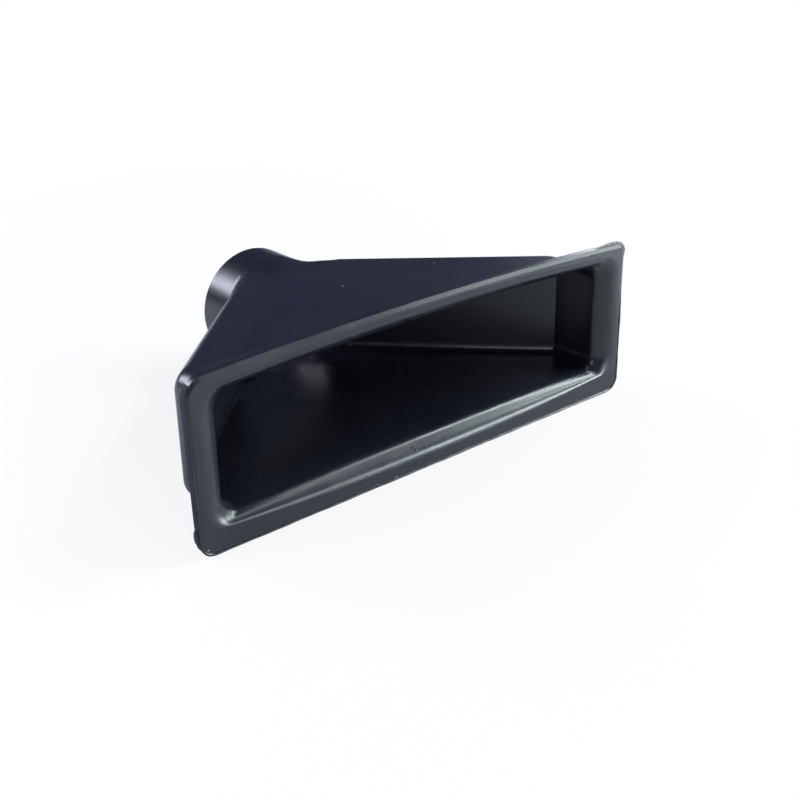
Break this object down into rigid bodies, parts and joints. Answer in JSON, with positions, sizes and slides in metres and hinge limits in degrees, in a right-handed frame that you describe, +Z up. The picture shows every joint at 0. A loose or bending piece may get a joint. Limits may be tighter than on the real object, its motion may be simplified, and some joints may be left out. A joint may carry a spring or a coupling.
{
  "type": "air scoop",
  "caption": "Black moulded air scoop: a wide flanged mouth narrows through a flat funnel to a round hose spigot at the back.",
  "frame": {"origin": "middle of the spigot's end", "axes": "+Y along the air flow and the spigot's axis, out of the spigot; +X along the flange; +Z up"},
  "size_m": [0.2712, 0.1562, 0.0877],
  "materials": {
    "air_scoop": "satin black moulded plastic"
  },
  "bodies": {
    "root": {"air_scoop": "air_scoop"}
  },
  "joints": []
}
